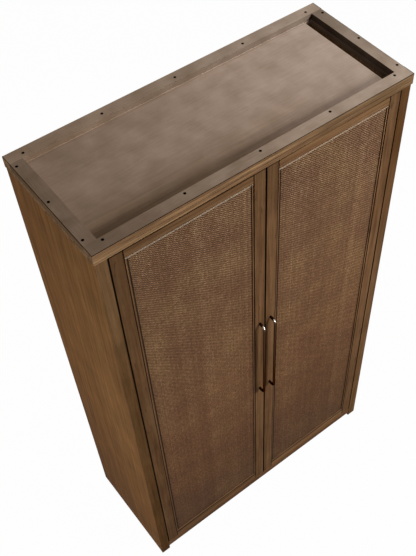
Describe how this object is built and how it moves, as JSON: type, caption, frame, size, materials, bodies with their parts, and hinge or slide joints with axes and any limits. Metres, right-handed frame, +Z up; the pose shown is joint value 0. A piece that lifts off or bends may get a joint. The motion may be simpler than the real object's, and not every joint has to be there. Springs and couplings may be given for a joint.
{
  "type": "bar armoire",
  "caption": "Tall bar cabinet with framed cane-panelled doors on pivots, long bar pulls, a recessed top with a low gallery, and a fitted inside for bottles and stemware.",
  "frame": {"origin": "on the floor, in the middle of the outline with the pulls counted in", "axes": "+Z up, +X to the right of someone facing the doors, +Y to the back, so the doors face -Y"},
  "size_m": [1.026, 0.445, 1.836],
  "materials": {
    "stained_wood": "satin brown stain",
    "veneered_board": "matt veneer",
    "woven_cane": "close woven, stained",
    "dark_bronze": "dark bronze",
    "black_screw": "black oxide",
    "bright_steel": "zinc plated",
    "brass": "plain brass",
    "dark_plastic": "moulded nylon"
  },
  "bodies": {
    "carcass": {"left_side_panel": "stained_wood", "right_side_panel": "stained_wood", "base_board": "stained_wood", "top_board": "stained_wood", "top_front_rail": "stained_wood", "top_back_rail": "stained_wood", "top_left_rail": "stained_wood", "top_right_rail": "stained_wood", "top_frame_screws": "black_screw", "back_panel": "veneered_board", "counter_shelf": "stained_wood", "stemware_shelf": "stained_wood", "bottle_shelf": "stained_wood", "shelf_pins": "brass", "neck_cradle": "stained_wood", "body_cradle": "stained_wood", "door_stop_rail": "stained_wood", "left_catch": "dark_plastic", "right_catch": "dark_plastic", "left_top_pivot": "bright_steel", "left_bottom_pivot": "bright_steel", "right_top_pivot": "bright_steel", "right_bottom_pivot": "bright_steel", "floor_glides": "dark_plastic", "stemware_rail_1": "stained_wood", "stemware_rail_2": "stained_wood", "stemware_rail_3": "stained_wood", "stemware_rail_4": "stained_wood", "stemware_rail_5": "stained_wood"},
    "left_door": {"left_door_hinge_stile": "stained_wood", "left_door_meeting_stile": "stained_wood", "left_door_bottom_rail": "stained_wood", "left_door_top_rail": "stained_wood", "left_door_backing_panel": "veneered_board", "left_door_cane_panel": "woven_cane", "left_door_hinge_bead": "stained_wood", "left_door_meeting_bead": "stained_wood", "left_door_bottom_bead": "stained_wood", "left_door_top_bead": "stained_wood", "left_door_pull": "dark_bronze", "left_door_pull_screws": "bright_steel", "left_door_bushes": "brass", "left_door_strike": "bright_steel"},
    "right_door": {"right_door_hinge_stile": "stained_wood", "right_door_meeting_stile": "stained_wood", "right_door_bottom_rail": "stained_wood", "right_door_top_rail": "stained_wood", "right_door_backing_panel": "veneered_board", "right_door_cane_panel": "woven_cane", "right_door_hinge_bead": "stained_wood", "right_door_meeting_bead": "stained_wood", "right_door_bottom_bead": "stained_wood", "right_door_top_bead": "stained_wood", "right_door_pull": "dark_bronze", "right_door_pull_screws": "bright_steel", "right_door_bushes": "brass", "right_door_strike": "bright_steel"}
  },
  "joints": [
    {"name": "left_door_hinge", "type": "hinge", "parent": "carcass", "child": "left_door", "pos_m": [-0.45053, -0.183, 0.92975], "axis": [0, 0, -1], "range_deg": [0, 110]},
    {"name": "right_door_hinge", "type": "hinge", "parent": "carcass", "child": "right_door", "pos_m": [0.45053, -0.183, 0.92975], "axis": [0, 0, 1], "range_deg": [0, 110]}
  ]
}
